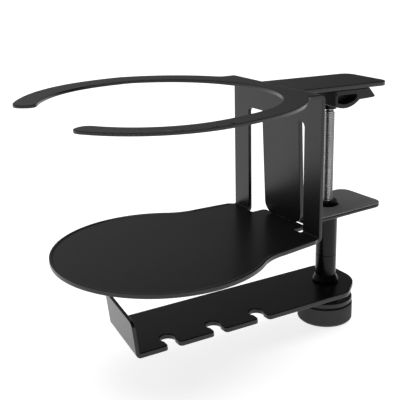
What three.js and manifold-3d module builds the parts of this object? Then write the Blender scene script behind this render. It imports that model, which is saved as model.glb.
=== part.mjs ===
// Desk clamp cup holder: a bent sheet cup bracket on a screw clamp, with a hook arm that swings below the tray.
// Millimetres, +Z up. The origin is the middle of the upper jaw pad's flat face, which rests on the desk top.
// +Y points in over the desk. Heights named ..._TOP or ..._BOTTOM are measured from the top of the cup ring.

import * as THREE from 'three';
import * as BufferGeometryUtils from 'three/addons/utils/BufferGeometryUtils.js';
import Module from 'manifold-3d';

const wasm = await Module();
wasm.setup();

// Driving dimensions
const GAP = 0.3; // left between pieces that touch
const SHEET = 1.7; // steel sheet of the cup bracket
const RING_SHEET = 1.3; // it is a little thinner round the ring
const BEND = 0.4; // inside radius of its bends
const CUP_RADIUS = 45.3; // opening of the cup ring
const RING_WIDTH = 9.6;
const OPENING_REACH = 53.3; // the ring's opening runs further toward the desk
const RING_REACH = 62.8;
const SQUARENESS = 2.15; // 2 is an ellipse, more is fuller toward its corners
const TIP_ANGLE = 62; // degrees past the ring's sides at which its two arms end
const TIP_CORNER = 4.7;
const DISH = 0.32; // the ring's inner edge lies this much lower than its outer edge
const ROOT_DROP = 1.4; // the ring falls this much toward the clamp
const FOLD_Y = 15; // where that fall begins
const BAND_HALF = 30.4; // upright band that joins ring and tray
const BAND_FRONT = 61.6;
const LEG_INNER = 19.5; // the band's two legs run from here to BAND_HALF
const WINDOW_TOP = -14.5;
const TRAY_TOP = -63.3;
const TRAY_RADIUS = 45.9;
const TRAY_Y = 0.95;
const NECK_HALF = 33.45; // the tray's neck, which narrows to the band
const NECK_END = 31.6;
const NECK_FILLET = 24.2;
const RIM_WIDTH = 1.6;
const RIM_HEIGHT = 0.3;
const NOTCH_Y = 60.2; // relief notches beside the tongue
const TONGUE_HALF = 15;
const TONGUE_Y = 67.5;

const JAW_HALF = 13.9; // upper jaw plate
const JAW_THICK = 2;
const JAW_FRONT = 63.6;
const JAW_BACK = 116.6;
const JAW_TOP = -2.2;
const JAW_SLOPE = Math.tan(THREE.MathUtils.degToRad(2.3));
const STRIP_HALF = 12.8; // upright strip below it
const STRIP_THICK = 2.3;
const STRIP_LEAN = 2.4; // the strip's foot stands this much further in than its top
const PAD_HALF = 13;
const PAD_BOTTOM = -10.9;
const BULB_Y = 91;
const BULB_RADIUS = 13;
const BULB_BOTTOM = -13.8;

const POST_Y = 93.1; // axis of the threaded rod
const ROD_RADIUS = 2.45; // M5
const JOURNAL_RADIUS = 1.6;
const ROD_TOP = -6.3;
const BOSS_BOTTOM = -16.2;
const LOWER_PAD_TOP = -62;
const LOWER_PAD_THICK = 0.5;
const LOWER_PLATE_THICK = 1.2;
const LOWER_JAW_HALF = 14;
const LOWER_JAW_FRONT = 69.2;
const LOWER_JAW_BACK = 116;
const JAW_NUT_ACROSS = 8;
const JAW_NUT_HEIGHT = 2.7;
const LOCK_NUT_ACROSS = 8;
const LOCK_NUT_HEIGHT = 3.1;
const SLEEVE_RADIUS = 4.95;
const SLEEVE_BORE = 2.9;
const SLEEVE_BOTTOM = -87;
const ARM_TOP = -101;
const COLLAR_TOP = ARM_TOP + 3.7; // the collar flares from here down to its lip
const KNOB_RADIUS = 13.2;
const KNOB_TOP = -110.9;
const KNOB_BOTTOM = -120.6;
const HUB_RADIUS = 6.5;
const SHOULDER_TOP = -108.2; // smooth shoulder above the knurl
const SHOULDER_RADIUS = 13;

const ARM_THICK = 2.4;
const ARM_HALF = 17.6;
const ARM_END = 13.6; // past the rod's axis
const ARM_LENGTH = 109; // from the rod's axis to the hook's lip
const ARM_SWING = THREE.MathUtils.degToRad(-2.9);
const LIP_SKEW = THREE.MathUtils.degToRad(-7.4);
const LIP_LEAN = THREE.MathUtils.degToRad(6);
const LIP_HEIGHT = 16.5;
const HOOK_COUNT = 3;
const HOOK_FIRST = 48.3; // from the rod's axis to the nearest keyhole
const HOOK_PITCH = 22.7;
const HOOK_DEPTH = 6.4; // from the arm's edge to the pocket's centre
const HOOK_POCKET = 3.3;
const HOOK_THROAT = 5.2;

// Solids
function toSolid(geometry) {
  const bare = geometry.clone();
  bare.deleteAttribute('normal');
  bare.deleteAttribute('uv');
  const merged = BufferGeometryUtils.mergeVertices(bare, 1e-4);
  const corners = merged.index.array;
  const triangles = [];
  for (let i = 0; i < corners.length; i += 3) {
    const [a, b, c] = corners.slice(i, i + 3);
    if (a !== b && b !== c && c !== a) triangles.push(a, b, c);
  }
  const vertProperties = merged.attributes.position.array;
  return new wasm.Manifold(new wasm.Mesh({ numProp: 3, vertProperties, triVerts: Uint32Array.from(triangles) }));
}

function toGeometry(solid) {
  const mesh = solid.getMesh();
  const geometry = new THREE.BufferGeometry();
  geometry.setAttribute('position', new THREE.BufferAttribute(mesh.vertProperties, 3));
  geometry.setIndex(new THREE.BufferAttribute(mesh.triVerts, 1));
  geometry.computeVertexNormals();
  return geometry;
}

// Outlines are lists of [u, v] points.
function arc(centreU, centreV, radius, from, to) {
  const steps = Math.max(2, Math.ceil(Math.abs(to - from) / (radius > 20 ? 5 : 18)));
  return Array.from({ length: steps + 1 }, (_, i) => {
    const angle = THREE.MathUtils.degToRad(from + ((to - from) * i) / steps);
    return [centreU + radius * Math.cos(angle), centreV + radius * Math.sin(angle)];
  });
}

// Corners are [u, v, radius]; each is rounded by an arc of its radius.
function rounded(corners) {
  return corners.flatMap(([u, v, radius], i) => {
    if (!radius) return [[u, v]];
    const corner = new THREE.Vector2(u, v);
    const [before, after] = [corners.at(i - 1), corners[(i + 1) % corners.length]].map(
      ([x, y]) => new THREE.Vector2(x, y).sub(corner).normalize(),
    );
    const half = Math.acos(before.dot(after)) / 2;
    const start = corner.clone().addScaledVector(before, radius / Math.tan(half));
    const end = corner.clone().addScaledVector(after, radius / Math.tan(half));
    const middle = corner.clone().addScaledVector(before.add(after).normalize(), radius / Math.sin(half));
    const from = start.sub(middle).angle();
    let turn = end.sub(middle).angle() - from;
    if (turn > Math.PI) turn -= 2 * Math.PI;
    if (turn < -Math.PI) turn += 2 * Math.PI;
    const { radToDeg } = THREE.MathUtils;
    return arc(middle.x, middle.y, radius, radToDeg(from), radToDeg(from + turn));
  });
}

const mirrored = (outline) => outline.map(([u, v]) => [-u, v]).reverse();

function extruded(outline, depth) {
  const shape = new THREE.Shape(outline.map(([u, v]) => new THREE.Vector2(u, v)));
  return new THREE.ExtrudeGeometry(shape, { depth, bevelEnabled: false });
}

// A level plate with its outline in X and Y
function plate(outline, bottom, top) {
  return toSolid(extruded(outline, top - bottom).translate(0, 0, bottom));
}

// A profile in Y and Z, run across X from -half to half
function across(profile, half) {
  const toYZ = new THREE.Matrix4().makeBasis(
    new THREE.Vector3(0, 1, 0),
    new THREE.Vector3(0, 0, 1),
    new THREE.Vector3(1, 0, 0),
  );
  return toSolid(extruded(profile, 2 * half).applyMatrix4(toYZ).translate(-half, 0, 0));
}

// An upright wall with its outline in X and Z, from front to back along Y
function upright(outline, front, back) {
  return toSolid(extruded(outline, back - front).rotateX(Math.PI / 2).translate(0, back, 0));
}

// A solid turned about Z from a closed profile of [radius, height]
function turned(profile, segments = 32) {
  const doubledArea = profile.reduce((sum, [r, z], i) => {
    const [nextR, nextZ] = profile[(i + 1) % profile.length];
    return sum + r * nextZ - nextR * z;
  }, 0);
  const ordered = doubledArea > 0 ? profile : [...profile].reverse();
  const points = [...ordered, ordered[0]].map(([r, z]) => new THREE.Vector2(r, z));
  return toSolid(new THREE.LatheGeometry(points, segments).rotateX(Math.PI / 2));
}

const tube = (inner, outer, bottom, top) =>
  turned([[inner, bottom], [outer, bottom], [outer, top], [inner, top]]);

const bore = (x, y, radius, bottom, top) => plate(arc(x, y, radius, 0, 360).slice(1), bottom, top);

// Cup bracket, about the ring's centre
// Part of an oval's first quarter, a little fuller in its corner than an ellipse
function oval(radius, reach, from, to) {
  const steps = 18;
  return Array.from({ length: steps + 1 }, (_, i) => {
    const angle = THREE.MathUtils.degToRad(from + ((to - from) * i) / steps);
    return [radius * Math.cos(angle) ** (2 / SQUARENESS), reach * Math.sin(angle) ** (2 / SQUARENESS)];
  });
}

function ringOutline() {
  const outer = CUP_RADIUS + RING_WIDTH;
  const corner = TIP_CORNER;
  const bandTurn = THREE.MathUtils.radToDeg(Math.acos((BAND_HALF / outer) ** (SQUARENESS / 2)));
  const outerTurn = THREE.MathUtils.radToDeg(corner / outer);
  const innerTurn = THREE.MathUtils.radToDeg(corner / CUP_RADIUS);
  const at = (radius) => arc(0, 0, radius, -TIP_ANGLE, -TIP_ANGLE)[0];
  const bendRound = (from, control, to) =>
    new THREE.QuadraticBezierCurve(...[from, control, to].map((p) => new THREE.Vector2(...p)))
      .getPoints(4)
      .map((p) => [p.x, p.y]);
  const outerArc = arc(0, 0, outer, 0, outerTurn - TIP_ANGLE);
  const innerArc = arc(0, 0, CUP_RADIUS, innerTurn - TIP_ANGLE, 0);
  const right = [
    [BAND_HALF, BAND_FRONT + 10],
    ...oval(outer, RING_REACH, bandTurn, 0).slice(0, -1),
    ...outerArc.slice(0, -1),
    ...bendRound(outerArc.at(-1), at(outer), at(outer - corner)),
    ...bendRound(at(CUP_RADIUS + corner), at(CUP_RADIUS), innerArc[0]),
    ...innerArc.slice(1, -1),
    ...oval(CUP_RADIUS, OPENING_REACH, 0, 90),
  ];
  return [...right, ...mirrored(right).slice(1)];
}

function bandOutline() {
  const floor = TRAY_TOP - 10;
  const right = [[LEG_INNER, floor], [BAND_HALF, floor], [BAND_HALF, 5]];
  const windowTop = rounded([
    [-LEG_INNER, floor, 0],
    [-LEG_INNER, WINDOW_TOP, 2.5],
    [LEG_INNER, WINDOW_TOP, 2.5],
    [LEG_INNER, floor, 0],
  ]);
  return [...right, ...mirrored(right), ...windowTop.slice(1, -1)];
}

function trayOutline(inset = 0) {
  const radius = TRAY_RADIUS - inset;
  const fillet = NECK_FILLET + inset;
  const filletX = NECK_HALF + NECK_FILLET;
  const filletY = TRAY_Y + Math.sqrt((TRAY_RADIUS + NECK_FILLET) ** 2 - filletX ** 2);
  const meet = THREE.MathUtils.radToDeg(Math.atan2(filletY - TRAY_Y, filletX));
  const back = BAND_FRONT + 10;
  const right = [
    [0, NOTCH_Y],
    [LEG_INNER, NOTCH_Y],
    [LEG_INNER, back],
    [BAND_HALF - inset, back],
    [BAND_HALF - inset, BAND_FRONT - BEND - 0.4],
    [NECK_END - inset, BAND_FRONT - 3],
    ...arc(filletX, filletY, fillet, 180, 180 + meet),
    ...arc(0, TRAY_Y, radius, meet, -90).slice(1),
  ];
  return [...right, ...mirrored(right).slice(1, -1)];
}

// Lowers the ring's inner edge; the band, whose sheet is upright, keeps its shape.
function dished(solid) {
  const geometry = toGeometry(solid);
  const { position } = geometry.attributes;
  for (let i = 0; i < position.count; i += 1) {
    const [x, y, z] = [position.getX(i), position.getY(i), position.getZ(i)];
    const fromCentre = Math.hypot(x, y > 0 ? (y * CUP_RADIUS) / OPENING_REACH : y);
    const inward = (CUP_RADIUS + RING_WIDTH - fromCentre) / RING_WIDTH;
    if (z > -2 * SHEET - ROOT_DROP && y < BAND_FRONT - BEND) {
      position.setZ(i, z - DISH * THREE.MathUtils.clamp(inward, 0, 1));
    }
  }
  return toSolid(geometry);
}

function cupBracket() {
  const back = BAND_FRONT + SHEET;
  const outer = BEND + SHEET;
  const far = -CUP_RADIUS - 2 * RING_WIDTH;
  const sideways = across(
    [
      [far, 0],
      [FOLD_Y, 0],
      ...arc(back - outer, -ROOT_DROP - outer, outer, 90, 0),
      ...arc(back - outer, TRAY_TOP + BEND, outer, 0, -90),
      [far, TRAY_TOP - SHEET],
      [far, TRAY_TOP],
      ...arc(BAND_FRONT - BEND, TRAY_TOP + BEND, BEND, -90, 0),
      ...arc(BAND_FRONT - BEND, -ROOT_DROP - outer, BEND, 0, 90),
      [FOLD_Y, -RING_SHEET],
      [far, -RING_SHEET],
    ],
    CUP_RADIUS + 2 * RING_WIDTH,
  );
  const ring = plate(ringOutline(), -8, 5);
  const band = upright(bandOutline(), BAND_FRONT - 6, back + 5);
  const tray = plate(trayOutline(), TRAY_TOP - 5, TRAY_TOP + 3);
  const tongue = plate(
    rounded([
      [-TONGUE_HALF, NOTCH_Y - 3, 0],
      [TONGUE_HALF, NOTCH_Y - 3, 0],
      [TONGUE_HALF, TONGUE_Y, 2],
      [-TONGUE_HALF, TONGUE_Y, 2],
    ]),
    TRAY_TOP - SHEET,
    TRAY_TOP,
  );
  const rimTop = TRAY_TOP + RIM_HEIGHT;
  const rimEnd = BAND_FRONT - 2 * BEND;
  const rim = plate(trayOutline(), TRAY_TOP - SHEET / 2, rimTop)
    .subtract(plate(trayOutline(RIM_WIDTH), TRAY_TOP - SHEET, rimTop + 1))
    .subtract(upright([[-99, TRAY_TOP - 9], [99, TRAY_TOP - 9], [99, 0], [-99, 0]], rimEnd, rimEnd + 20));
  return dished(sideways.intersect(ring.add(band).add(tray)).add(tongue).add(rim));
}

// Clamp bracket and upper jaw, about the ring's centre
const jawTopAt = (y) => JAW_TOP - (y - BAND_FRONT) * JAW_SLOPE;

function clampBracket() {
  const foot = TRAY_TOP + GAP;
  const sideways = across(
    rounded([
      [JAW_FRONT + STRIP_LEAN, foot, 0],
      [JAW_FRONT, jawTopAt(JAW_FRONT), 1.6],
      [JAW_BACK, jawTopAt(JAW_BACK), 0.5],
      [JAW_BACK, jawTopAt(JAW_BACK) - JAW_THICK, 0.5],
      [JAW_FRONT + STRIP_THICK, jawTopAt(JAW_FRONT) - JAW_THICK, 0.4],
      [JAW_FRONT + STRIP_LEAN + STRIP_THICK, foot, 0],
    ]),
    JAW_HALF,
  );
  const jaw = plate(
    rounded([
      [-JAW_HALF, JAW_FRONT - 5, 0],
      [JAW_HALF, JAW_FRONT - 5, 0],
      [JAW_HALF, JAW_BACK, 5],
      [-JAW_HALF, JAW_BACK, 5],
    ]),
    -7,
    1,
  );
  const strip = upright(
    rounded([
      [-STRIP_HALF, foot, 5],
      [STRIP_HALF, foot, 5],
      [STRIP_HALF, 1, 0],
      [-STRIP_HALF, 1, 0],
    ]),
    JAW_FRONT - 5,
    JAW_FRONT + 6,
  );
  return sideways.intersect(jaw.add(strip));
}

function upperJawPad() {
  const back = POST_Y + 12;
  const front = POST_Y - 8.5;
  const under = (y) => jawTopAt(y) - JAW_THICK - GAP;
  const bulb = arc(BULB_Y, BULB_BOTTOM + BULB_RADIUS, BULB_RADIUS, -51, -119);
  const pad = across(
    [
      [front, under(front)],
      [back, under(back)],
      ...rounded([
        [back + 3.6, PAD_BOTTOM + 0.6, 0],
        [back + 2.8, PAD_BOTTOM, 0],
      ]),
      ...bulb,
    ],
    PAD_HALF,
  );
  const hollow = across(
    rounded([
      [BULB_Y - 4.9, -7.6, 1],
      [BULB_Y + 7.4, -8, 1],
      [BULB_Y + 5.6, -10.8, 1],
      [BULB_Y, -12.3, 8],
      [BULB_Y - 4.9, -11, 1],
    ]),
    PAD_HALF + 1,
  );
  const web = across([[front, -20], [back, -20], [back, 0], [front, 0]], PAD_HALF - 5);
  return pad.subtract(hollow.subtract(web)).subtract(bore(0, POST_Y, 4.9, BULB_BOTTOM - 1, 0));
}

// Pieces on the post, about its axis
function rodTopBoss() {
  const top = -5.75;
  const floor = -8.7;
  return turned([
    [1.95, BOSS_BOTTOM],
    [3.2, BOSS_BOTTOM],
    [3.2, -9.6],
    [4.55, -8.9],
    [4.55, top],
    [3.7, top],
    [3.7, floor],
    [1.95, floor],
  ]);
}

function threadedRod() {
  const bottom = KNOB_BOTTOM + 0.8;
  const groove = 1.25;
  return turned([
    [0, bottom],
    [ROD_RADIUS - 0.4, bottom],
    [ROD_RADIUS, bottom + 0.4],
    [ROD_RADIUS, BOSS_BOTTOM - 1],
    [JOURNAL_RADIUS, BOSS_BOTTOM - GAP],
    [JOURNAL_RADIUS, ROD_TOP - 1.5],
    [groove, ROD_TOP - 1.5],
    [groove, ROD_TOP - 0.6],
    [JOURNAL_RADIUS, ROD_TOP - 0.6],
    [JOURNAL_RADIUS, ROD_TOP],
    [0, ROD_TOP],
  ]);
}

function rodClip() {
  const outline = [...arc(0, 0, 3, 35, 325), ...arc(0, 0, 1.55, 325, 35)];
  return plate(outline, ROD_TOP - 1.3, ROD_TOP - 0.8);
}

function hexNut(flats, height, bottom) {
  const corner = flats / 2 / Math.cos(Math.PI / 6);
  const hexagon = Array.from({ length: 6 }, (_, i) => arc(0, 0, corner, 60 * i, 60 * i)[0]);
  const top = bottom + height;
  const chamfered = turned([
    [0, bottom],
    [corner - 0.5, bottom],
    [corner + 0.2, bottom + 0.5],
    [corner + 0.2, top - 0.5],
    [corner - 0.5, top],
    [0, top],
  ]);
  return plate(hexagon, bottom, top)
    .intersect(chamfered)
    .subtract(bore(0, 0, ROD_RADIUS + GAP, bottom - 1, top + 1));
}

function jawOutline(half) {
  const front = LOWER_JAW_FRONT - POST_Y;
  const back = LOWER_JAW_BACK - POST_Y;
  return rounded([[-half, front, 1], [half, front, 1], [half, back, 5], [-half, back, 5]]);
}

function lowerJawPad() {
  const bottom = LOWER_PAD_TOP - LOWER_PAD_THICK;
  const cutout = bore(0, 0, JAW_NUT_ACROSS / 2 + 1.3, bottom - 1, LOWER_PAD_TOP + 1);
  return plate(jawOutline(LOWER_JAW_HALF), bottom, LOWER_PAD_TOP).subtract(cutout);
}

function lowerJawPlate(top) {
  const bottom = top - LOWER_PLATE_THICK;
  return plate(jawOutline(LOWER_JAW_HALF), bottom, top).subtract(bore(0, 0, SLEEVE_BORE, bottom - 1, top + 1));
}

function jawFlange(top) {
  const bottom = top - LOWER_PLATE_THICK;
  const outline = rounded([[-11, -9, 3], [11, -9, 3], [11, 7.6, 3], [-11, 7.6, 3]]);
  return plate(outline, bottom, top).subtract(bore(0, 0, SLEEVE_BORE, bottom - 1, top + 1));
}

function armCollar() {
  const neck = 3.6;
  return turned([
    [ROD_RADIUS + GAP, ARM_TOP - ARM_THICK - 2.5],
    [neck, ARM_TOP - ARM_THICK - 2.5],
    [neck, ARM_TOP + GAP],
    [5.6, ARM_TOP + GAP],
    [6.3, ARM_TOP + 0.7],
    [6.3, ARM_TOP + 1.1],
    [SLEEVE_RADIUS, COLLAR_TOP],
    [ROD_RADIUS + GAP, COLLAR_TOP],
  ]);
}

function armWasher() {
  const top = ARM_TOP - ARM_THICK - GAP;
  return tube(4, 7, top - 0.8, top);
}

// A spring washer with three waves round it
function waveWasher() {
  const waves = 3;
  const middle = ARM_TOP - ARM_THICK - 2 * GAP - 0.8 - 0.6;
  const washer = new THREE.LatheGeometry(
    [[4, -0.2], [6.3, -0.2], [6.3, 0.2], [4, 0.2], [4, -0.2]].map(([r, z]) => new THREE.Vector2(r, z)),
    48,
  ).rotateX(Math.PI / 2);
  const position = washer.attributes.position;
  for (let i = 0; i < position.count; i += 1) {
    const angle = Math.atan2(position.getY(i), position.getX(i));
    position.setZ(i, position.getZ(i) + middle + 0.3 * Math.cos(waves * angle));
  }
  return toSolid(washer);
}

function knob() {
  const hubTop = ARM_TOP - ARM_THICK - 3;
  const recess = 5.6;
  const recessTop = KNOB_BOTTOM + 4.4;
  const bushing = 4.2;
  return turned(
    [
      [bushing, recessTop],
      [recess, recessTop],
      [recess, KNOB_BOTTOM],
      [KNOB_RADIUS - 1, KNOB_BOTTOM],
      [KNOB_RADIUS, KNOB_BOTTOM + 1],
      [KNOB_RADIUS, KNOB_TOP - 0.8],
      [KNOB_RADIUS - 0.8, KNOB_TOP],
      [KNOB_RADIUS - 0.8, KNOB_TOP + 0.4],
      [SHOULDER_RADIUS, KNOB_TOP + 0.6],
      [SHOULDER_RADIUS, SHOULDER_TOP - 0.5],
      [SHOULDER_RADIUS - 0.5, SHOULDER_TOP],
      [HUB_RADIUS + 0.6, SHOULDER_TOP],
      [HUB_RADIUS, SHOULDER_TOP + 0.6],
      [HUB_RADIUS, hubTop - 0.4],
      [HUB_RADIUS - 0.4, hubTop],
      [bushing, hubTop],
    ],
    72,
  );
}

// Hook arm, about the post's axis and lying along -Y
function hookOutline() {
  const edge = ARM_HALF;
  const throat = HOOK_THROAT / 2;
  const mouth = 1.8;
  const pocket = THREE.MathUtils.radToDeg(Math.asin(throat / HOOK_POCKET));
  const hooks = Array.from({ length: HOOK_COUNT }, (_, i) => -HOOK_FIRST - HOOK_PITCH * i);
  return hooks.flatMap((y) => [
    ...arc(edge - mouth, y + throat + mouth, mouth, 0, -90),
    ...arc(edge - HOOK_DEPTH, y, HOOK_POCKET, pocket, 360 - pocket),
    ...arc(edge - mouth, y - throat - mouth, mouth, 90, 0),
  ]);
}

function armOutline(far) {
  return [
    ...rounded([
      [-ARM_HALF, far, 0],
      [-ARM_HALF, ARM_END, 9],
      [5.7, ARM_END, 15],
      [ARM_HALF, 0.1, 8],
    ]),
    ...hookOutline(),
    [ARM_HALF, far],
  ];
}

function hangerArm() {
  const bottom = ARM_TOP - ARM_THICK;
  const outside = 1.6;
  const lipLength = LIP_HEIGHT - ARM_THICK;
  const leanY = (height) => -height * Math.tan(LIP_LEAN);
  const profile = rounded([
    [12, bottom, 0],
    [-outside, bottom, 2.2],
    [-outside + leanY(LIP_HEIGHT), bottom + LIP_HEIGHT, 0.4],
    [leanY(LIP_HEIGHT), bottom + LIP_HEIGHT, 0.4],
    [leanY(ARM_THICK), ARM_TOP, 0.3],
    [12, ARM_TOP, 0],
  ]);
  const bend = toGeometry(across(profile, ARM_HALF + 3));
  const skewed = toSolid(bend.rotateZ(LIP_SKEW).translate(0, -ARM_LENGTH + outside, 0));
  const reach = ARM_LENGTH + 20;
  const sides = plate([[-ARM_HALF, -reach], [ARM_HALF, -reach], [ARM_HALF, 0], [-ARM_HALF, 0]], bottom - 1, -60);
  const lipTop = rounded([
    [-ARM_HALF, bottom - 1, 0],
    [ARM_HALF, bottom - 1, 0],
    [ARM_HALF, bottom + ARM_THICK + lipLength, 2.5],
    [-ARM_HALF, bottom + ARM_THICK + lipLength, 2.5],
  ]);
  const lip = skewed.intersect(sides).intersect(upright(lipTop, -reach, 0));
  const flat = plate(armOutline(-ARM_LENGTH + 6), bottom, ARM_TOP);
  return flat.add(lip).subtract(bore(0, 0, 4, bottom - 1, ARM_TOP + 1));
}

// Materials
const finish = (color, roughness, metalness) => new THREE.MeshStandardMaterial({ color, roughness, metalness });
const blackSteel = finish(0x1c1c1e, 0.42, 0.3);
const zinc = finish(0xb9bbbd, 0.3, 1);
const blackRubber = finish(0x111112, 0.8, 0);
const greyFoam = finish(0x8a8b8c, 0.85, 0);
const blackKnob = finish(0x161617, 0.45, 0.2);
const brass = finish(0xb08d4a, 0.35, 1);

function piece(name, solid, material) {
  const mesh = new THREE.Mesh(toGeometry(solid), material);
  mesh.name = name;
  return mesh;
}

// Assembly
const bracket = new THREE.Group();
bracket.add(
  piece('cup_bracket', cupBracket(), blackSteel),
  piece('clamp_bracket', clampBracket(), blackSteel),
  piece('upper_jaw_pad', upperJawPad(), blackRubber),
);

const plateTop = LOWER_PAD_TOP - LOWER_PAD_THICK - GAP;
const flangeTop = plateTop - LOWER_PLATE_THICK - GAP;
const sleeveTop = flangeTop - LOWER_PLATE_THICK - GAP;
const post = new THREE.Group();
post.position.y = POST_Y;
post.add(
  piece('rod_top_boss', rodTopBoss(), blackSteel),
  piece('rod_clip', rodClip(), zinc),
  piece('clip_washer', tube(JOURNAL_RADIUS + GAP, 3.3, ROD_TOP - 2.1, ROD_TOP - 1.6), zinc),
  piece('threaded_rod', threadedRod(), zinc),
  piece('jaw_nut', hexNut(JAW_NUT_ACROSS, JAW_NUT_HEIGHT, plateTop + GAP), blackSteel),
  piece('lower_jaw_pad', lowerJawPad(), greyFoam),
  piece('lower_jaw_plate', lowerJawPlate(plateTop), blackSteel),
  piece('jaw_flange', jawFlange(flangeTop), blackSteel),
  piece('jaw_sleeve', tube(SLEEVE_BORE, SLEEVE_RADIUS, SLEEVE_BOTTOM, sleeveTop), blackSteel),
  piece('spacer_sleeve', tube(SLEEVE_BORE, SLEEVE_RADIUS, COLLAR_TOP + GAP, SLEEVE_BOTTOM - GAP), blackSteel),
  piece('arm_collar', armCollar(), blackSteel),
  piece('arm_washer', armWasher(), zinc),
  piece('wave_washer', waveWasher(), zinc),
  piece('knob', knob(), blackKnob),
  piece('knob_insert', tube(ROD_RADIUS + GAP, 3.9, KNOB_BOTTOM + 4.4, KNOB_TOP + 4.4), brass),
  piece('knob_lock_nut', hexNut(LOCK_NUT_ACROSS, LOCK_NUT_HEIGHT, KNOB_BOTTOM + 1), zinc),
);

const arm = piece('hanger_arm', hangerArm(), blackSteel);
arm.rotation.z = ARM_SWING;
post.add(arm);

const cupHolder = new THREE.Group();
const padMiddleY = POST_Y + 9.9;
cupHolder.position.set(0, -padMiddleY, -PAD_BOTTOM);
cupHolder.add(bracket, post);

const part = new THREE.Group();
part.add(cupHolder);
export default part;
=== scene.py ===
import math

import bmesh
import bpy
import numpy as np
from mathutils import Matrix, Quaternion, Vector
from mathutils.geometry import delaunay_2d_cdt


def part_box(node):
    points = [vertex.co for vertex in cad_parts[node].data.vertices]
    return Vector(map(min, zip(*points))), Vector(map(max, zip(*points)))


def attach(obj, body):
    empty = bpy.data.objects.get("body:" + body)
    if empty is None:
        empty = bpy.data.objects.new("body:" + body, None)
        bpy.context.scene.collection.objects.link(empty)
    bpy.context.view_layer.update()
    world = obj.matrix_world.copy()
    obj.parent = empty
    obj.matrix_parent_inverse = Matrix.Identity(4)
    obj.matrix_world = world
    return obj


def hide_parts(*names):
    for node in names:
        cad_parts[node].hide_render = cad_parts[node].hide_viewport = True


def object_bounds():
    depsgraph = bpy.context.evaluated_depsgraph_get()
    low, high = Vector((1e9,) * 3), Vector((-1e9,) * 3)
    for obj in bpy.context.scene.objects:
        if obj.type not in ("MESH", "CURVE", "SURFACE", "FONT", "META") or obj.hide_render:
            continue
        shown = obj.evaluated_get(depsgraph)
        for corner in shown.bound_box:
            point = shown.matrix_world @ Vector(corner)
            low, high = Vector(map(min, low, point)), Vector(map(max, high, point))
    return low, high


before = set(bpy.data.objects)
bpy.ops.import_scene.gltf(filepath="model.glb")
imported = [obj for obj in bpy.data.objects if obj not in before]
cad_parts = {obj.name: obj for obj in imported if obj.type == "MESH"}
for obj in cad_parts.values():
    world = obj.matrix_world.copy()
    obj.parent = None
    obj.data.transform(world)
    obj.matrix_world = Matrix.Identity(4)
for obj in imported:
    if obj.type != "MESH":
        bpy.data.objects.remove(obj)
cad_low, cad_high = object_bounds()

# Dimensions in millimetres, measured as in the CAD: from the centre of the cup ring, heights from its top
RING_SHEET, SHEET, BEND = 1.3, 1.7, 0.4
CUP_RADIUS, RING_WIDTH = 45.3, 9.6
OPENING_REACH, RING_REACH, SQUARENESS = 53.3, 62.8, 2.15
TIP_ANGLE, TIP_CORNER = 62, 4.7
DISH, ROOT_DROP, FOLD_Y = 0.32, 1.4, 15
BAND_HALF, BAND_FRONT, LEG_INNER, WINDOW_TOP = 30.4, 61.6, 19.5, -14.5
TRAY_TOP, TRAY_RADIUS, TRAY_Y = -63.3, 45.9, 0.95
NECK_HALF, NECK_END, NECK_FILLET = 33.45, 31.6, 24.2
RIM_WIDTH, RIM_HEIGHT = 1.6, 0.3
NOTCH_Y, TONGUE_HALF, TONGUE_Y = 60.2, 15, 67.5
JAW_HALF, JAW_THICK, JAW_FRONT, JAW_BACK, JAW_TOP = 13.9, 2, 63.6, 116.6, -2.2
JAW_SLOPE = math.tan(math.radians(2.3))
STRIP_HALF, STRIP_THICK, STRIP_LEAN = 12.8, 2.3, 2.4
PAD_HALF, PAD_BOTTOM = 13, -10.9
BULB_Y, BULB_RADIUS, BULB_BOTTOM = 91, 13, -13.8
POST_Y = 93.1
ROD_RADIUS, JOURNAL_RADIUS, ROD_TOP, PITCH = 2.45, 1.6, -6.3, 0.8
BOSS_BOTTOM = -16.2
LOWER_PAD_TOP, LOWER_PAD_THICK, LOWER_PLATE_THICK = -62, 0.5, 1.2
LOWER_JAW_HALF, LOWER_JAW_FRONT, LOWER_JAW_BACK = 14, 69.2, 116
SLEEVE_RADIUS, SLEEVE_BORE, SLEEVE_BOTTOM = 4.95, 2.9, -87
ARM_TOP, ARM_THICK, ARM_HALF, ARM_END, ARM_LENGTH = -101, 2.4, 17.6, 13.6, 109
ARM_SWING, LIP_SKEW, LIP_LEAN = math.radians(-2.9), math.radians(-7.4), math.radians(6)
LIP_HEIGHT = 16.5
HOOK_COUNT, HOOK_FIRST, HOOK_PITCH = 3, 48.3, 22.7
HOOK_DEPTH, HOOK_POCKET, HOOK_THROAT = 6.4, 3.3, 5.2
KNOB_RADIUS, KNOB_TOP, KNOB_BOTTOM, HUB_RADIUS = 13.2, -110.9, -120.6, 6.5
SHOULDER_TOP, SHOULDER_RADIUS = -108.2, 13
COLLAR_TOP = ARM_TOP + 3.7
JAW_NUT_ACROSS, JAW_NUT_HEIGHT = 8, 2.7
LOCK_NUT_ACROSS, LOCK_NUT_HEIGHT = 8, 3.1
SEAM = 0.05  # what is left open between the sleeves and at the collar
POST_HOLE = 4.9  # radius of the hole through the pad
POCKET_DEPTH, POCKET_WEB = 6, PAD_HALF - 5
GAP = 0.3

ring_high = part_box("cup_bracket")[1] * 1000
ORIGIN = np.array([0, ring_high.y - TONGUE_Y, ring_high.z])


# Outlines: arrays of (u, v)
def arc(centre_u, centre_v, radius, start, end):
    count = max(3, math.ceil(abs(end - start) / max(1.5, min(12, 45 / radius))))
    turn = np.radians(np.linspace(start, end, count + 1))
    return np.column_stack([centre_u + radius * np.cos(turn), centre_v + radius * np.sin(turn)])


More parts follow.
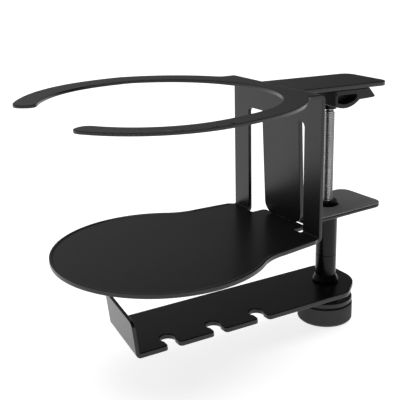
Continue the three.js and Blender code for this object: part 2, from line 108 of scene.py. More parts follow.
def rounded(corners, count=None):
    """Each corner is (u, v, radius). With count, every rounded corner has that many segments."""
    points = []
    for i, (u, v, radius) in enumerate(corners):
        corner = np.array([u, v], float)
        if not radius:
            points.append(corner[None])
            continue
        before = np.array(corners[i - 1][:2]) - corner
        after = np.array(corners[(i + 1) % len(corners)][:2]) - corner
        before, after = before / np.hypot(*before), after / np.hypot(*after)
        half = math.acos(before @ after) / 2
        start = corner + before * radius / math.tan(half)
        end = corner + after * radius / math.tan(half)
        middle = corner + (before + after) / np.hypot(*(before + after)) * radius / math.sin(half)
        first = math.degrees(math.atan2(*(start - middle)[::-1]))
        turn = math.degrees(math.atan2(*(end - middle)[::-1])) - first
        turn = (turn + 180) % 360 - 180
        if count:
            steps = np.radians(first + turn * np.linspace(0, 1, count + 1))
            points.append(middle + radius * np.column_stack([np.cos(steps), np.sin(steps)]))
        else:
            points.append(arc(*middle, radius, first, first + turn))
    return np.vstack(points)


def curve_between(start, control, end, count=8):
    t = np.linspace(0, 1, count + 1)[:, None]
    start, control, end = (np.array(p, float) for p in (start, control, end))
    return start * (1 - t) ** 2 + 2 * control * t * (1 - t) + end * t**2


def fine(loop, step, cuts):
    """The loop with no segment longer than step, and a point wherever it crosses one of the cuts in v."""
    points = []
    for start, end in zip(loop, np.roll(loop, -1, axis=0)):
        length = np.hypot(*(end - start))
        if length < 1e-4:
            continue
        shares = list(np.linspace(0, 1, max(1, math.ceil(length / step)) + 1)[1:-1])
        if abs(end[1] - start[1]) > 1e-6:
            shares += [s for s in (np.asarray(cuts) - start[1]) / (end[1] - start[1]) if 0 < s < 1]
        kept = [0.0]
        for share in sorted(shares):
            if (share - kept[-1]) * length > 0.08 and (1 - share) * length > 0.08:
                kept.append(share)
        points += [start + (end - start) * share for share in kept]
    return np.array(points)


def oriented(loop, leftward):
    ahead = np.roll(loop, -1, axis=0)
    area = np.sum(loop[:, 0] * ahead[:, 1] - ahead[:, 0] * loop[:, 1])
    return loop if (area > 0) == leftward else loop[::-1]


def inset(loop, distance):
    """The loop moved to its left."""
    along = np.roll(loop, -1, axis=0) - loop
    along = along / np.linalg.norm(along, axis=1, keepdims=True)
    normal = np.column_stack([-along[:, 1], along[:, 0]])
    before = np.roll(normal, 1, axis=0)
    share = 1 + np.sum(normal * before, axis=1, keepdims=True)
    return loop + distance * (normal + before) / np.maximum(share, 0.3)


def inside(points, loops):
    odd = np.zeros(len(points), bool)
    u, v = points.T
    for loop in loops:
        for (u0, v0), (u1, v1) in zip(loop, np.roll(loop, -1, axis=0)):
            if v0 != v1:
                odd ^= ((v0 > v) != (v1 > v)) & (u < (u1 - u0) * (v - v0) / (v1 - v0) + u0)
    return odd


def mirrored_pair(right):
    """A closed loop from its right half, which starts and ends on u = 0."""
    return np.vstack([right, (right * [-1, 1])[::-1][1:-1]])


# Pieces
def add_piece(name, points, faces, material, body, nodes, slot_name):
    """A smooth mesh from millimetre points, riding on a CAD body in place of CAD nodes."""
    mesh = bpy.data.meshes.new(name)
    mesh.from_pydata(((points + ORIGIN) * 0.001).tolist(), [], faces)
    edit = bmesh.new()
    edit.from_mesh(mesh)
    bmesh.ops.remove_doubles(edit, verts=edit.verts, dist=1e-6)
    bmesh.ops.dissolve_degenerate(edit, edges=edit.edges, dist=1e-7)
    bmesh.ops.recalc_face_normals(edit, faces=edit.faces)
    edit.to_mesh(mesh)
    edit.free()
    mesh.shade_smooth()
    mesh.materials.append(material)
    piece = bpy.data.objects.new(name, mesh)
    bpy.context.scene.collection.objects.link(piece)
    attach(piece, body)
    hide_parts(*nodes)
    return piece


def slab(loops, thickness, radius, shape, step=2.5, cuts=(), extra=()):
    """Points and faces of a sheet with rounded edges. Its loops lie in flat (u, v), the outer one first.

    shape takes u, v and the depth, from 0 on one face to 1 on the other, and gives XYZ.
    """
    loops = [fine(oriented(loop, i == 0), 1.0, cuts) for i, loop in enumerate(loops)]
    profile = [(radius + 0.2, 0)]
    for angle in np.radians(np.linspace(0, 90, 5)):
        profile.append((radius * (1 - math.sin(angle)), radius * (1 - math.cos(angle))))
    profile += [(depth, thickness - height) for depth, height in reversed(profile)]
    flat, faces, front, back, base = [], [], [], [], 0
    for loop in loops:
        size = len(loop)
        for depth, height in profile:
            flat.append(np.column_stack([inset(loop, depth), np.full(size, height / thickness)]))
        for row in range(len(profile) - 1):
            for i in range(size):
                here, there = base + row * size, base + (row + 1) * size
                k = (i + 1) % size
                faces.append((here + i, there + i, there + k, here + k))
        front += range(base, base + size)
        back += range(base + (len(profile) - 1) * size, base + len(profile) * size)
        base += len(profile) * size

    rims = [inset(loop, profile[0][0]) for loop in loops]
    low, high = rims[0].min(axis=0), rims[0].max(axis=0)
    across = np.arange(low[0] + step / 2, high[0], step)
    along = np.arange(low[1] + step / 2, high[1], step)
    spare = [np.stack(np.meshgrid(across, along), -1).reshape(-1, 2)]
    spare += [np.column_stack([across, np.full(len(across), cut)]) for cut in cuts]
    spare = np.vstack([*spare, *extra])
    spare = spare[inside(spare, rims)]
    edges = np.vstack(rims)
    spare = spare[[np.min(np.hypot(*(edges - point).T)) > 0.3 for point in spare]]
    constraints, start = [], 0
    for rim in rims:
        constraints += [(start + i, start + (i + 1) % len(rim)) for i in range(len(rim))]
        start += len(rim)
    corners = [Vector(point) for point in np.vstack([edges, spare])]
    found, _, triangles, sources, _, _ = delaunay_2d_cdt(corners, constraints, [], 0, 1e-6)
    found = np.array([point[:] for point in found])
    middles = np.array([found[list(t)].mean(axis=0) for t in triangles])
    for t, kept in zip(triangles, inside(middles, rims)):
        if kept:
            corner = [sources[i][0] for i in t]
            faces.append([front[c] if c < len(edges) else base + c - len(edges) for c in corner])
            faces.append(
                [back[c] if c < len(edges) else base + len(spare) + c - len(edges) for c in corner][::-1]
            )
    flat.append(np.column_stack([spare, np.zeros(len(spare))]))
    flat.append(np.column_stack([spare, np.ones(len(spare))]))
    return shape(*np.vstack(flat).T), faces


def held(loop):
    """The loop with a point close to each end of its long segments, which keeps flat walls flat."""
    points = []
    for start, end in zip(loop, np.roll(loop, -1, axis=0)):
        length = np.hypot(*(end - start))
        points.append(start)
        if length > 0.8:
            step = (end - start) / length * 0.15
            points += [start + step, end - step]
    return np.array(points)


def turned(profile, segments=96, reshape=None, wave=None):
    """Points and faces of a solid turned about the post from corners (radius, height, rounding)."""
    radius, height = held(rounded(profile)).T
    angle = np.linspace(0, 2 * math.pi, segments, endpoint=False)[:, None]
    radius = np.broadcast_to(reshape(angle, radius, height) if reshape else radius, (segments, len(height)))
    height = height + (wave(angle) if wave else np.zeros_like(angle))
    points = np.stack([radius * np.cos(angle), POST_Y + radius * np.sin(angle), height], -1)
    size = points.shape[1]
    faces = []
    for i in range(segments):
        here, there = i * size, (i + 1) % segments * size
        for j in range(size):
            k = (j + 1) % size
            faces.append((here + j, there + j, there + k, here + k))
    return points.reshape(-1, 3), faces


class Bent:
    """A sheet bent along a path.

    Its two faces are lists of corners (run, height, radius) that match one to one.
    """

    def __init__(self, front, back):
        count = 9
        self.front = rounded_path(front, count)
        self.back = rounded_path(back, count)
        self.middle = (self.front + self.back) / 2
        steps = np.hypot(*np.diff(self.middle, axis=0).T)
        self.s = np.concatenate([[0], np.cumsum(steps)])

    def at(self, s, depth):
        front = [np.interp(s, self.s, column) for column in self.front.T]
        back = [np.interp(s, self.s, column) for column in self.back.T]
        return [a + (b - a) * depth for a, b in zip(front, back)]

    def bends(self):
        return [s for s, gap in zip(self.s[1:], np.diff(self.s)) if gap < 1.5]


def rounded_path(corners, count):
    """rounded() for an open path: its two ends have no radius."""
    return rounded(corners, count)


# Materials
def material(
    name, color, roughness, metallic=0.0, ior=1.45, grain=1800, spread=0.06, bump=0.1, depth=0.00002
):
    """Principled finish with fine mottling of its colour and gloss and a fine bump. grain is per metre."""
    finish = bpy.data.materials.new(name)
    finish.use_nodes = True
    nodes, links = finish.node_tree.nodes, finish.node_tree.links
    shader = nodes["Principled BSDF"]
    shader.inputs["Metallic"].default_value = metallic
    shader.inputs["IOR"].default_value = ior
    place = nodes.new("ShaderNodeTexCoord")
    fine_noise = nodes.new("ShaderNodeTexNoise")
    fine_noise.inputs["Scale"].default_value = grain
    fine_noise.inputs["Detail"].default_value = 3
    links.new(place.outputs["Object"], fine_noise.inputs["Vector"])
    broad_noise = nodes.new("ShaderNodeTexNoise")
    broad_noise.inputs["Scale"].default_value = 60
    broad_noise.inputs["Detail"].default_value = 4
    links.new(place.outputs["Object"], broad_noise.inputs["Vector"])
    tint = nodes.new("ShaderNodeMix")
    tint.data_type = "RGBA"
    tint.inputs["A"].default_value = (*[c * 0.8 for c in color], 1)
    tint.inputs["B"].default_value = (*[c * 1.25 for c in color], 1)
    links.new(broad_noise.outputs["Fac"], tint.inputs["Factor"])
    links.new(tint.outputs["Result"], shader.inputs["Base Color"])
    gloss = nodes.new("ShaderNodeMapRange")
    gloss.inputs["To Min"].default_value = roughness - spread
    gloss.inputs["To Max"].default_value = roughness + spread
    links.new(fine_noise.outputs["Fac"], gloss.inputs["Value"])
    links.new(gloss.outputs["Result"], shader.inputs["Roughness"])
    relief = nodes.new("ShaderNodeBump")
    relief.inputs["Strength"].default_value = bump
    relief.inputs["Distance"].default_value = depth
    links.new(fine_noise.outputs["Fac"], relief.inputs["Height"])
    links.new(relief.outputs["Normal"], shader.inputs["Normal"])
    return finish


powder_coat = material("powder_coat", (0.006, 0.006, 0.0063), 0.3, ior=1.47)
coated_tube = material("coated_tube", (0.003, 0.003, 0.0032), 0.22, ior=1.3, bump=0.05)
bright_zinc = material("bright_zinc", (0.62, 0.62, 0.63), 0.3, metallic=1, grain=900, spread=0.08)
soft_rubber = material("soft_rubber", (0.012, 0.012, 0.012), 0.62, grain=2600, bump=0.3)
# Lower jaw pad: dark rubber lightened to a mid grey base colour; the extra lightness is painted sheen,
# standing in for the grazing reflection on the pad's top
pad_rubber_painted_sheen = material("pad_rubber_painted_sheen", (0.2, 0.2, 0.205), 0.6, grain=3000, bump=0.4, depth=0.00004)
knob_black = material("knob_black", (0.014, 0.014, 0.0145), 0.38, ior=1.45, grain=2200)
insert_brass = material("insert_brass", (0.55, 0.39, 0.16), 0.35, metallic=1, grain=1200)


# Cup bracket: ring, band and tray, bent from one sheet
def cup_bracket():
    path = Bent(
        [(-60, 0, 0), (FOLD_Y, 0, 0), (BAND_FRONT + SHEET, -ROOT_DROP, BEND + SHEET),
         (BAND_FRONT + SHEET, TRAY_TOP - SHEET, BEND + SHEET), (-60, TRAY_TOP - SHEET, 0)],
        [(-60, -RING_SHEET, 0), (FOLD_Y, -RING_SHEET, 0), (BAND_FRONT, -ROOT_DROP - SHEET, BEND),
         (BAND_FRONT, TRAY_TOP, BEND), (-60, TRAY_TOP, 0)],
    )
    count = len(path.s)
    bend_y = BAND_FRONT - BEND
    upper = slice(0, count // 2)
    ring_s = lambda y: np.interp(y, path.middle[upper, 0], path.s[upper])
    tray_start = path.s[-2]
    tray_s = lambda y: tray_start + bend_y - y
    band_s = lambda z: np.interp(-z, -path.middle[:, 1][2:-2], path.s[2:-2])

    outer = CUP_RADIUS + RING_WIDTH
    fillet_x = NECK_HALF + NECK_FILLET
    fillet_y = TRAY_Y + math.sqrt((TRAY_RADIUS + NECK_FILLET) ** 2 - fillet_x**2)
    meet = math.degrees(math.atan2(fillet_y - TRAY_Y, fillet_x))
    tray = np.vstack([
        arc(0, TRAY_Y, TRAY_RADIUS, -90, meet),
        arc(fillet_x, fillet_y, NECK_FILLET, 180 + meet, 180)[1:],
        [[NECK_END, BAND_FRONT - 3], [BAND_HALF, bend_y - 0.4]],
    ])

    def oval(radius, reach, start, end, steps=60):
        turn = np.radians(np.linspace(start, end, steps + 1))
        power = 2 / SQUARENESS
        x = radius * np.cos(turn).clip(0) ** power
        y = reach * np.sin(turn).clip(0) ** power
        return np.column_stack([x, y])

    band_turn = math.degrees(math.acos((BAND_HALF / outer) ** (SQUARENESS / 2)))
    flank = oval(outer, RING_REACH, band_turn, 0)
    ear = curve_between([BAND_HALF, flank[0][1] + 2.5], flank[0], flank[2])
    outer_turn = math.degrees(TIP_CORNER / outer)
    inner_turn = math.degrees(TIP_CORNER / CUP_RADIUS)
    outer_arc = arc(0, 0, outer, 0, outer_turn - TIP_ANGLE)
    inner_arc = arc(0, 0, CUP_RADIUS, inner_turn - TIP_ANGLE, 0)
    tip = np.array([math.cos(math.radians(-TIP_ANGLE)), math.sin(math.radians(-TIP_ANGLE))])
    ring = np.vstack([
        ear, flank[3:], outer_arc[1:-1],
        curve_between(outer_arc[-1], tip * outer, tip * (outer - TIP_CORNER)),
        curve_between(tip * (CUP_RADIUS + TIP_CORNER), tip * CUP_RADIUS, inner_arc[0]),
        inner_arc[1:-1],
        oval(CUP_RADIUS, OPENING_REACH, 0, 90),
    ])
    right = np.vstack([
        np.column_stack([tray[:, 0], tray_s(tray[:, 1])]),
        np.column_stack([ring[:, 0], ring_s(ring[:, 1])]),
    ])
    outline = mirrored_pair(right)
    notch, tongue_end = tray_s(NOTCH_Y), tray_s(TONGUE_Y)
    window = rounded([
        (-LEG_INNER, band_s(WINDOW_TOP), 2.5), (LEG_INNER, band_s(WINDOW_TOP), 2.5),
        (LEG_INNER, notch, 0.9), (TONGUE_HALF, notch, 0.9),
        (TONGUE_HALF, tongue_end, 2), (-TONGUE_HALF, tongue_end, 2),
        (-TONGUE_HALF, notch, 0.9), (-LEG_INNER, notch, 0.9),
    ])

    def shape(x, s, depth):
        y, z = path.at(s, depth)
        on_tongue = (np.abs(x) < (LEG_INNER + TONGUE_HALF) / 2) & (s > tongue_end - 4) & (s < notch + 1)
        y = np.where(on_tongue, tray_start + bend_y - s, y)
        z = np.where(on_tongue, TRAY_TOP - SHEET * (1 - depth), z)
        from_centre = np.hypot(x, np.where(y > 0, y * CUP_RADIUS / OPENING_REACH, y))
        inward = ((outer - from_centre) / RING_WIDTH).clip(0, 1)
        fade = ((58 - y) / 8).clip(0, 1)
        z = z - np.where(s < ring_s(58), DISH * inward * fade, 0)
        to_circle = TRAY_RADIUS - np.hypot(x, y - TRAY_Y)
        to_fillet = np.hypot(np.abs(x) - fillet_x, y - fillet_y) - NECK_FILLET
        to_edge = np.where(y < TRAY_Y + TRAY_RADIUS * math.sin(math.radians(meet)), to_circle, to_fillet)
        neck = np.interp(y, [fillet_y, BAND_FRONT - 3, bend_y - 0.4], [NECK_HALF, NECK_END, BAND_HALF])
        to_edge = np.where(y > fillet_y, neck - np.abs(x), to_edge)
        rise = 1 - ((to_edge - 0.9) / (RIM_WIDTH - 0.9)).clip(0, 1)
        rise = rise * rise * (3 - 2 * rise) * ((bend_y - 1 - y) / 3).clip(0, 1)
        z = z + np.where((s > tray_start) & ~on_tongue, RIM_HEIGHT * rise * depth, 0)
        return np.column_stack([x, y, z])

    tray_edge = fine(oriented(outline, True), 1.0, ())
    rows = [inset(tray_edge, depth) for depth in (0.9, 1.1, 1.35, 1.6, 2.0)]
    extra = [row[row[:, 1] > tray_start] for row in rows]
    return slab([outline, window], SHEET, 0.22, shape, cuts=path.bends(), extra=extra)


add_piece("cup_bracket_sheet", *cup_bracket(), powder_coat, "bracket", ["cup_bracket"], "black_steel")


# Clamp bracket: upper jaw plate and the strip below it
def jaw_top(y):
    return JAW_TOP - (y - BAND_FRONT) * JAW_SLOPE


def clamp_bracket():
    foot = TRAY_TOP + GAP
    path = Bent(
        [(JAW_BACK, jaw_top(JAW_BACK), 0),
         (JAW_FRONT, jaw_top(JAW_FRONT), 1.6),
         (JAW_FRONT + STRIP_LEAN, foot, 0)],
        [(JAW_BACK, jaw_top(JAW_BACK) - JAW_THICK, 0),
         (JAW_FRONT + STRIP_THICK, jaw_top(JAW_FRONT) - JAW_THICK, 0.5),
         (JAW_FRONT + STRIP_LEAN + STRIP_THICK, foot, 0)],
    )
    waist = path.s[-2] + 3
    outline = rounded([
        (-JAW_HALF, 0, 5), (JAW_HALF, 0, 5),
        (JAW_HALF, waist, 4), (STRIP_HALF, waist + 4, 4),
        (STRIP_HALF, path.s[-1], 5), (-STRIP_HALF, path.s[-1], 5),
        (-STRIP_HALF, waist + 4, 4), (-JAW_HALF, waist, 4),
    ])

    def shape(x, s, depth):
        y, z = path.at(s, depth)
        return np.column_stack([x, y, z])

    return slab([outline], JAW_THICK, 0.25, shape, cuts=path.bends())


add_piece("clamp_bracket_sheet", *clamp_bracket(), powder_coat, "bracket", ["clamp_bracket"], "black_steel")


# Upper jaw pad, with a bulb, a blind hollow in each side and a hole for the post
def upper_jaw_pad():
    back, front = POST_Y + 12, POST_Y - 8.5
    under = lambda y: jaw_top(y) - JAW_THICK - GAP
    bulb = arc(BULB_Y, BULB_BOTTOM + BULB_RADIUS, BULB_RADIUS, -51, -119)
    top = [[front, under(front)], [back, under(back)]]
    tail = [[back + 3.6, PAD_BOTTOM + 0.6], [back + 2.8, PAD_BOTTOM]]
    pad = np.vstack([top, tail, bulb])
    width = 2 * PAD_HALF
    return slab([pad], width, 0.3, lambda y, z, depth: np.column_stack([depth * width - PAD_HALF, y, z]))


def pad_cutters():
    """The post's hole and the blind hollow in each side."""
    hollow = rounded([
        (BULB_Y - 4.9, -7.6, 1), (BULB_Y + 7.4, -8, 1), (BULB_Y + 5.6, -10.8, 1),
        (BULB_Y, -12.3, 8), (BULB_Y - 4.9, -11, 1),
    ])
    low = BULB_BOTTOM - 2
    post_hole = turned([(0, low, 0), (POST_HOLE, low, 0), (POST_HOLE, 0, 0), (0, 0, 0)], 64)

    def pocket(side):
        return slab(
            [hollow], POCKET_DEPTH, 0.3,
            lambda y, z, t: np.column_stack([side * (POCKET_WEB + t * POCKET_DEPTH), y, z]),
        )

    points, faces = [], []
    for piece_points, piece_faces in (post_hole, pocket(1), pocket(-1)):
        start = sum(len(block) for block in points)
        points.append(piece_points)
        faces += [[start + corner for corner in face] for face in piece_faces]
    return np.vstack(points), faces


pad = add_piece(
    "upper_jaw_pad_rubber", *upper_jaw_pad(), soft_rubber, "bracket", ["upper_jaw_pad"], "black_rubber"
)
cutter_mesh = bpy.data.meshes.new("pad_cutter")
cutter_points, cutter_faces = pad_cutters()
cutter_mesh.from_pydata(((cutter_points + ORIGIN) * 0.001).tolist(), [], cutter_faces)
edit = bmesh.new()
edit.from_mesh(cutter_mesh)
bmesh.ops.remove_doubles(edit, verts=edit.verts, dist=1e-6)
bmesh.ops.recalc_face_normals(edit, faces=edit.faces)
edit.to_mesh(cutter_mesh)
edit.free()
cutter = bpy.data.objects.new("pad_cutter", cutter_mesh)
bpy.context.scene.collection.objects.link(cutter)
cut = pad.modifiers.new("post_hole", "BOOLEAN")
cut.operation, cut.solver, cut.object = "DIFFERENCE", "EXACT", cutter
bpy.context.view_layer.update()
cut_mesh = bpy.data.meshes.new_from_object(pad.evaluated_get(bpy.context.evaluated_depsgraph_get()))
pad.modifiers.clear()
pad.data = cut_mesh
pad.data.set_sharp_from_angle(angle=math.radians(40))
bpy.data.objects.remove(cutter)


# Pieces turned about the post
def tube(inner, outer, bottom, top, rounding=0.25, **options):
    return turned([
        (inner, bottom, rounding / 2), (outer, bottom, rounding),
        (outer, top, rounding), (inner, top, rounding / 2),
    ], **options)


def top_boss():
    top, floor = -5.75, -8.7
    return turned([
        (1.95, BOSS_BOTTOM, 0.1), (3.2, BOSS_BOTTOM, 0.2), (3.2, -9.6, 0.5), (4.55, -8.9, 0.3),
        (4.55, top, 0.25), (3.7, top, 0.2), (3.7, floor, 0.3), (1.95, floor, 0.1),
    ])


def threaded_rod():
    """The journal at the top, then a helical thread down to the chamfered foot."""
    bottom, top = KNOB_BOTTOM + 0.8, BOSS_BOTTOM - 1
    root = ROD_RADIUS - 0.45
    levels = [root, root + 0.12, ROD_RADIUS - 0.05, ROD_RADIUS, ROD_RADIUS - 0.05, root + 0.12]
    around, per_turn = 32, len(levels)
    rows = int((top - bottom) / PITCH * per_turn) + 3 * per_turn
    i, k = np.meshgrid(np.arange(around), np.arange(rows), indexing="ij")
    angle = 2 * math.pi * i / around
    height = bottom - 1.5 * PITCH + (k / per_turn + i / around) * PITCH
    radius = np.array(levels)[k % per_turn]
    foot = ROD_RADIUS - 0.5 + (height - bottom) * 0.8
    neck = JOURNAL_RADIUS + (top + 0.5 - height) * 0.6
    radius = np.minimum(radius, np.minimum(foot.clip(root - 0.2), neck.clip(JOURNAL_RADIUS - 0.1)))
    height = height.clip(bottom, top + 0.5)
    points = np.stack([radius * np.cos(angle), POST_Y + radius * np.sin(angle), height], -1).reshape(-1, 3)
    faces = []
    for a in range(around):
        shift = per_turn if a == around - 1 else 0
        b = (a + 1) % around
        faces += [
            (a * rows + r, b * rows + r + shift, b * rows + r + 1 + shift, a * rows + r + 1)
            for r in range(rows - 1 - shift)
        ]
    groove = 1.25
    journal, journal_faces = turned([
        (0, bottom, 0), (root - 0.25, bottom, 0), (root - 0.25, top, 0), (JOURNAL_RADIUS, top + 0.2, 0),
        (JOURNAL_RADIUS, ROD_TOP - 1.5, 0), (groove, ROD_TOP - 1.5, 0), (groove, ROD_TOP - 0.6, 0),
        (JOURNAL_RADIUS, ROD_TOP - 0.6, 0), (JOURNAL_RADIUS, ROD_TOP, 0.25), (0, ROD_TOP, 0),
    ], segments=48)
    faces += [[c + len(points) for c in face] for face in journal_faces]
    return np.vstack([points, journal]), faces


def hex_nut(flats, height, bottom):
    corner, top = flats / 2 / math.cos(math.pi / 6), bottom + height
    bore = ROD_RADIUS + GAP

    def trim(angle, radius, _):
        sector = (angle + math.pi / 6) % (math.pi / 3) - math.pi / 6
        flat = flats / 2 / np.cos(math.pi / 6 - np.abs(sector))
        return np.where(radius > bore + 0.5, np.minimum(radius, flat), radius)

    return turned([
        (bore + 0.25, bottom, 0), (corner - 0.5, bottom, 0), (corner + 0.2, bottom + 0.5, 0),
        (corner + 0.2, top - 0.5, 0), (corner - 0.5, top, 0), (bore + 0.25, top, 0),
        (bore, top - 0.25, 0), (bore, bottom + 0.25, 0),
    ], 96, trim)


def knob():
    hub_top, recess, recess_top, bushing = ARM_TOP - ARM_THICK - 3, 5.6, KNOB_BOTTOM + 4.4, 4.2
    ridges = 90

    def knurl(angle, radius, height):
        tooth = np.abs((angle * ridges / (2 * math.pi)) % 1 * 2 - 1)
        side = (radius > KNOB_RADIUS - 0.45) & (height < KNOB_TOP - 0.5) & (height > KNOB_BOTTOM + 0.5)
        return np.where(side, radius - 0.28 * tooth, radius)

    return turned([
        (bushing, recess_top, 0.2), (recess, recess_top, 0.3), (recess, KNOB_BOTTOM, 0.3),
        (KNOB_RADIUS - 1, KNOB_BOTTOM, 0.4), (KNOB_RADIUS, KNOB_BOTTOM + 1, 0.3),
        (KNOB_RADIUS, KNOB_TOP - 0.8, 0.3), (KNOB_RADIUS - 0.8, KNOB_TOP, 0.15),
        (KNOB_RADIUS - 0.8, KNOB_TOP + 0.4, 0.08), (SHOULDER_RADIUS, KNOB_TOP + 0.6, 0.08),
        (SHOULDER_RADIUS, SHOULDER_TOP, 0.6), (HUB_RADIUS, SHOULDER_TOP, 0.6),
        (HUB_RADIUS, hub_top, 0.5), (bushing, hub_top, 0.2),
    ], ridges * 6, knurl)


def arm_collar():
    neck = 3.6
    return turned([
        (ROD_RADIUS + GAP, ARM_TOP - ARM_THICK - 2.5, 0.1), (neck, ARM_TOP - ARM_THICK - 2.5, 0.2),
        (neck, ARM_TOP + GAP, 0.1), (5.6, ARM_TOP + GAP, 0.3), (6.3, ARM_TOP + 0.7, 0.15),
        (6.3, ARM_TOP + 1.1, 0.15), (SLEEVE_RADIUS, COLLAR_TOP, 0.15), (ROD_RADIUS + GAP, COLLAR_TOP, 0.1),
    ])


plate_top = LOWER_PAD_TOP - LOWER_PAD_THICK - GAP
flange_top = plate_top - LOWER_PLATE_THICK - GAP
sleeve_top = flange_top - LOWER_PLATE_THICK - GAP
washer_top = ARM_TOP - ARM_THICK - GAP
wave_middle = ARM_TOP - ARM_THICK - 2 * GAP - 0.8 - 0.6
clip = np.vstack([arc(0, POST_Y, 3, 35, 325), arc(0, POST_Y, 1.55, 325, 35)])
level = lambda bottom, top: lambda x, y, depth: np.column_stack([x, y, top + (bottom - top) * depth])

add_piece("top_boss", *top_boss(), coated_tube, "bracket", ["rod_top_boss"], "black_steel")
add_piece("rod_with_thread", *threaded_rod(), bright_zinc, "screw", ["threaded_rod"], "zinc")
add_piece(
    "retaining_clip", *slab([clip], 0.5, 0.1, level(ROD_TOP - 1.3, ROD_TOP - 0.8)),
    bright_zinc, "screw", ["rod_clip"], "zinc",
)
add_piece(
    "washer_under_clip", *tube(JOURNAL_RADIUS + GAP, 3.3, ROD_TOP - 2.1, ROD_TOP - 1.6, 0.12),
    bright_zinc, "screw", ["clip_washer"], "zinc",
)
add_piece(
    "upper_sleeve", *tube(SLEEVE_BORE, SLEEVE_RADIUS, SLEEVE_BOTTOM, sleeve_top, 0.12),
    coated_tube, "lower_jaw", ["jaw_sleeve"], "black_steel",
)
add_piece(
    "lower_sleeve", *tube(SLEEVE_BORE, SLEEVE_RADIUS, COLLAR_TOP + SEAM, SLEEVE_BOTTOM - SEAM, 0.12),
    coated_tube, "screw", ["spacer_sleeve"], "black_steel",
)
add_piece("flared_collar", *arm_collar(), coated_tube, "screw", ["arm_collar"], "black_steel")
add_piece(
    "washer_under_arm", *tube(4, 7, washer_top - 0.8, washer_top, 0.2),
    bright_zinc, "screw", ["arm_washer"], "zinc",
)
add_piece(
    "spring_washer",
    *tube(4, 6.3, wave_middle - 0.2, wave_middle + 0.2, 0.12, wave=lambda angle: 0.3 * np.cos(3 * angle)),
    bright_zinc, "screw", ["wave_washer"], "zinc",
)
add_piece("knurled_knob", *knob(), knob_black, "screw", ["knob"], "black_knob")
add_piece(
    "brass_insert", *tube(ROD_RADIUS + GAP, 3.9, KNOB_BOTTOM + 4.4, KNOB_TOP + 4.4, 0.2),
    insert_brass, "screw", ["knob_insert"], "brass",
)
jaw_nut = add_piece(
    "jaw_hex_nut", *hex_nut(JAW_NUT_ACROSS, JAW_NUT_HEIGHT, plate_top + GAP),
    coated_tube, "lower_jaw", ["jaw_nut"], "black_steel",
)
lock_nut = add_piece(
    "lock_hex_nut", *hex_nut(LOCK_NUT_ACROSS, LOCK_NUT_HEIGHT, KNOB_BOTTOM + 1),
    bright_zinc, "screw", ["knob_lock_nut"], "zinc",
)
for nut in (jaw_nut, lock_nut):
    nut.data.set_sharp_from_angle(angle=math.radians(25))


# Lower jaw
jaw = rounded([
    (-LOWER_JAW_HALF, LOWER_JAW_FRONT, 1), (LOWER_JAW_HALF, LOWER_JAW_FRONT, 1),
    (LOWER_JAW_HALF, LOWER_JAW_BACK, 5), (-LOWER_JAW_HALF, LOWER_JAW_BACK, 5),
])
flange = rounded([(-11, POST_Y - 9, 3), (11, POST_Y - 9, 3), (11, POST_Y + 7.6, 3), (-11, POST_Y + 7.6, 3)])
rod_hole = arc(0, POST_Y, SLEEVE_BORE, 0, 354)
nut_hole = arc(0, POST_Y, JAW_NUT_ACROSS / 2 + 1.3, 0, 356)
pad_bottom = LOWER_PAD_TOP - LOWER_PAD_THICK
# The pad's grey is painted sheen on dark rubber, not its own colour
add_piece(
    "lower_jaw_rubber", *slab([jaw, nut_hole], LOWER_PAD_THICK, 0.18, level(pad_bottom, LOWER_PAD_TOP)),
    pad_rubber_painted_sheen, "lower_jaw", ["lower_jaw_pad"], "grey_pad",
)
add_piece(
    "lower_jaw_steel",
    *slab([jaw, rod_hole], LOWER_PLATE_THICK, 0.2, level(plate_top - LOWER_PLATE_THICK, plate_top)),
    powder_coat, "lower_jaw", ["lower_jaw_plate"], "black_steel",
)
add_piece(
    "lower_jaw_flange",
    *slab([flange, rod_hole], LOWER_PLATE_THICK, 0.2, level(flange_top - LOWER_PLATE_THICK, flange_top)),
    powder_coat, "lower_jaw", ["jaw_flange"], "black_steel",
)


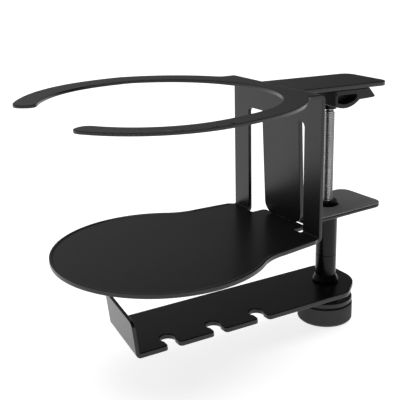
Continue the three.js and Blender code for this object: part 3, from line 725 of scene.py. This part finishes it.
# Hanger arm: a flat plate with three keyholes and a lip bent up at its far end
def hanger_arm():
    bottom = ARM_TOP - ARM_THICK
    outside = 1.6
    lean = math.tan(LIP_LEAN)
    path = Bent(
        [(-140, ARM_TOP, 0), (lean * ARM_THICK, ARM_TOP, 0.3), (lean * LIP_HEIGHT, bottom + LIP_HEIGHT, 0)],
        [(-140, bottom, 0), (outside, bottom, 2.2), (outside + lean * LIP_HEIGHT, bottom + LIP_HEIGHT, 0)],
    )
    cos, sin = math.cos(LIP_SKEW), math.sin(LIP_SKEW)
    hinge = np.array([0, -ARM_LENGTH + outside])
    mouth, throat = 1.8, HOOK_THROAT / 2
    pocket = math.degrees(math.asin(throat / HOOK_POCKET))
    hooks = []
    for i in range(HOOK_COUNT):
        y = -HOOK_FIRST - HOOK_PITCH * i
        hooks += [
            arc(ARM_HALF - mouth, y + throat + mouth, mouth, 0, -90),
            arc(ARM_HALF - HOOK_DEPTH, y, HOOK_POCKET, pocket, 360 - pocket),
            arc(ARM_HALF - mouth, y - throat - mouth, mouth, 90, 0),
        ]
    end = rounded([
        (-ARM_HALF, -60, 0), (-ARM_HALF, ARM_END, 9),
        (5.7, ARM_END, 15), (ARM_HALF, 0.1, 8), (ARM_HALF, -30, 0),
    ])
    flat = np.vstack([end[1:-1], *hooks])

    def to_path(points):
        x, y = (points - hinge).T
        run = -(-sin * x + cos * y)
        return np.column_stack([cos * x + sin * y, np.interp(run, path.middle[:2, 0], path.s[:2])])

    edge = ARM_HALF / cos
    top = path.s[-1]
    lip = rounded([(edge, path.s[1], 0), (edge, top, 2.5), (-edge, top, 2.5), (-edge, path.s[1], 0)])
    outline = np.vstack([to_path(flat), lip])
    hole = to_path(arc(0, 0, 4, 0, 354))

    def shape(u, s, depth):
        run, z = path.at(s, depth)
        x, y = cos * u + sin * run, sin * u - cos * run
        x, y = x + hinge[0], y + hinge[1]
        turn_cos, turn_sin = math.cos(ARM_SWING), math.sin(ARM_SWING)
        return np.column_stack([turn_cos * x - turn_sin * y, POST_Y + turn_sin * x + turn_cos * y, z])

    return slab([outline, hole], ARM_THICK, 0.4, shape, cuts=path.bends())


add_piece("hook_arm_sheet", *hanger_arm(), powder_coat, "arm", ["hanger_arm"], "black_steel")


# Camera
centre = (cad_low + cad_high) / 2
aim = Vector((-0.7949, 0.5202, -0.3123)).normalized()
camera = bpy.data.objects.new("camera", bpy.data.cameras.new("camera"))
camera.data.lens, camera.data.sensor_width = 76.71, 36
camera.location = centre + Vector((0.28664, -0.20111, 0.12708))
camera.rotation_mode = "QUATERNION"
camera.rotation_quaternion = aim.to_track_quat("-Z", "Y") @ Quaternion((0, 0, 1), math.radians(-1.35))
camera.data.clip_start, camera.data.clip_end = 0.01, 20
bpy.context.scene.collection.objects.link(camera)
bpy.context.scene.camera = camera


# Floor and light
floor_mesh = bpy.data.meshes.new("floor")
reach = 6
corners = [(-reach, -reach, 0), (reach, -reach, 0), (reach, reach, 0), (-reach, reach, 0)]
floor_mesh.from_pydata(corners, [], [(0, 1, 2, 3)])
floor = bpy.data.objects.new("floor", floor_mesh)
floor.location = (0, 0, cad_low.z - 0.0002)
bpy.context.scene.collection.objects.link(floor)
floor_finish = bpy.data.materials.new("pale_floor")
floor_finish.use_nodes = True
floor_shader = floor_finish.node_tree.nodes["Principled BSDF"]
floor_shader.inputs["Base Color"].default_value = (0.9, 0.9, 0.9, 1)
floor_shader.inputs["Roughness"].default_value = 0.9
floor_shader.inputs["Specular IOR Level"].default_value = 0.1
floor_shader.inputs["Emission Color"].default_value = (1, 1, 1, 1)
floor_shader.inputs["Emission Strength"].default_value = 0.8
floor_mesh.materials.append(floor_finish)

world = bpy.data.worlds.new("studio")
bpy.context.scene.world = world
world.use_nodes = True
nodes, links = world.node_tree.nodes, world.node_tree.links
background = nodes["Background"]
directions = nodes.new("ShaderNodeTexCoord")
facing = nodes.new("ShaderNodeVectorMath")
facing.operation = "DOT_PRODUCT"
facing.inputs[1].default_value = Vector((-0.8, -0.5, 0.1)).normalized()
links.new(directions.outputs["Generated"], facing.inputs[0])
ramp = nodes.new("ShaderNodeMapRange")
ramp.inputs["From Min"].default_value = 0.1
ramp.inputs["From Max"].default_value = 0.7
ramp.inputs["To Min"].default_value = 0.03
ramp.inputs["To Max"].default_value = 0.3
links.new(facing.outputs["Value"], ramp.inputs["Value"])
rays = nodes.new("ShaderNodeLightPath")
blend = nodes.new("ShaderNodeMix")
blend.data_type = "FLOAT"
links.new(rays.outputs["Is Camera Ray"], blend.inputs["Factor"])
links.new(ramp.outputs["Result"], blend.inputs["A"])
blend.inputs["B"].default_value = 1.0
links.new(blend.outputs["Result"], background.inputs["Strength"])
background.inputs["Color"].default_value = (1, 1, 1, 1)

overhead = bpy.data.lights.new("overhead_light", "SUN")
overhead.energy, overhead.angle = 1.3, math.radians(60)
holder = bpy.data.objects.new("overhead_light", overhead)
holder.location = centre + Vector((0, 0, 1))
bpy.context.scene.collection.objects.link(holder)
bpy.context.scene.view_settings.view_transform = "Standard"
